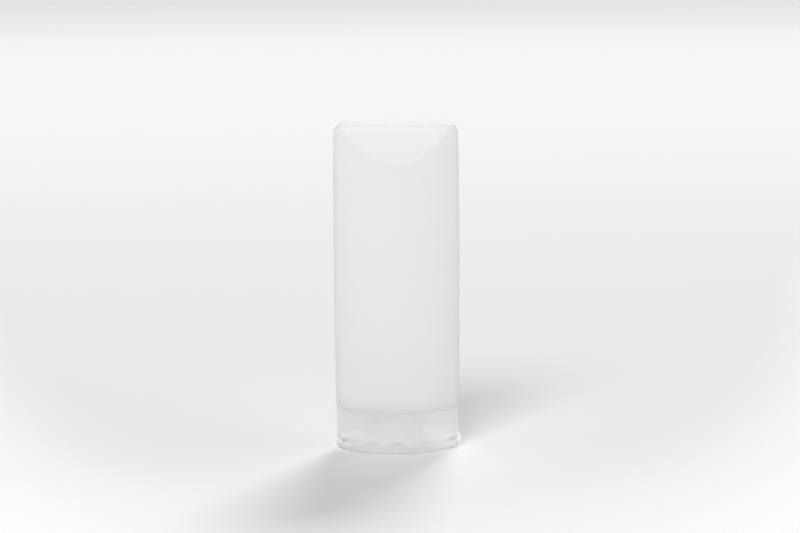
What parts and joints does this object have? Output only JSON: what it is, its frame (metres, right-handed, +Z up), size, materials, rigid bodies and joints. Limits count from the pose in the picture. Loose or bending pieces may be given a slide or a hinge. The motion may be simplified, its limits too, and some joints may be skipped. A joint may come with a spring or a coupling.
{
  "type": "cosmetic bottle",
  "caption": "Flat-oval squeeze bottle of milky plastic with a wedge-shaped top, standing upside down on its clear push-fit flip-top cap.",
  "frame": {"origin": "bottom centre of the closed lid, where the part stands", "axes": "+Z up through the bottle, +X along the wide side towards the cap's living hinge, -Y the front"},
  "size_m": [0.0505, 0.027, 0.132],
  "materials": {
    "bottle_plastic": "milky natural polyethylene, satin, lets light through but not shapes",
    "cap_plastic": "natural polypropylene, hazy clear, glossy"
  },
  "bodies": {
    "pack": {"bottle": "bottle_plastic", "cap_base": "cap_plastic", "living_hinge": "cap_plastic"},
    "lid": {"flip_lid": "cap_plastic"}
  },
  "joints": [
    {"name": "lid_hinge", "type": "hinge", "parent": "pack", "child": "lid", "pos_m": [0.02536, 0, 0.0032], "axis": [0, -1, 0], "range_deg": [0, 150], "deforming": ["living_hinge"]}
  ]
}
